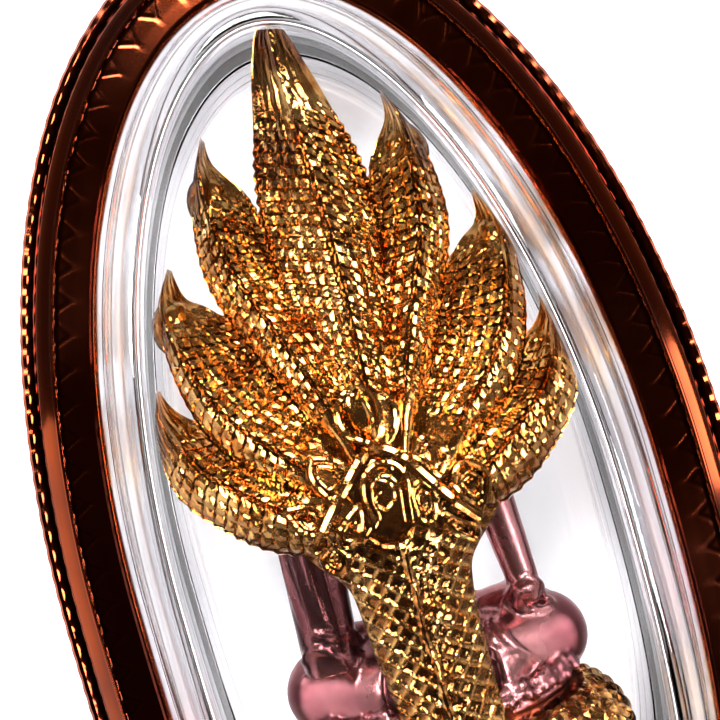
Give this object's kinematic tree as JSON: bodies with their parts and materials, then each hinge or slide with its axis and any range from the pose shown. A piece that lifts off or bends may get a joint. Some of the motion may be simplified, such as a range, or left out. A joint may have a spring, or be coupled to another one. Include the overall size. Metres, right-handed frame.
{
  "type": "naga buddha",
  "caption": "Naga buddha amulet: a seated figure under a serpent's hood of many heads, sealed in a clear pendant case with a metal frame and bail.",
  "frame": {"origin": "middle of the front window's flat outer face, on the line where the case is widest", "axes": "+Z from the front window to the back window, +Y towards the bail, +X to the right when the back is looked at"},
  "size_m": [0.0286, 0.0557, 0.014],
  "materials": {
    "frame_metal": "dark rose metal, polished",
    "clear_acrylic": "clear acrylic, polished",
    "gold": "gold-coloured casting, bright with brown recesses",
    "rose_copper": "rose copper casting, satin"
  },
  "bodies": {
    "root": {"frame": "frame_metal", "back_window": "clear_acrylic", "front_window": "clear_acrylic", "naga": "gold", "buddha": "rose_copper"}
  },
  "joints": []
}
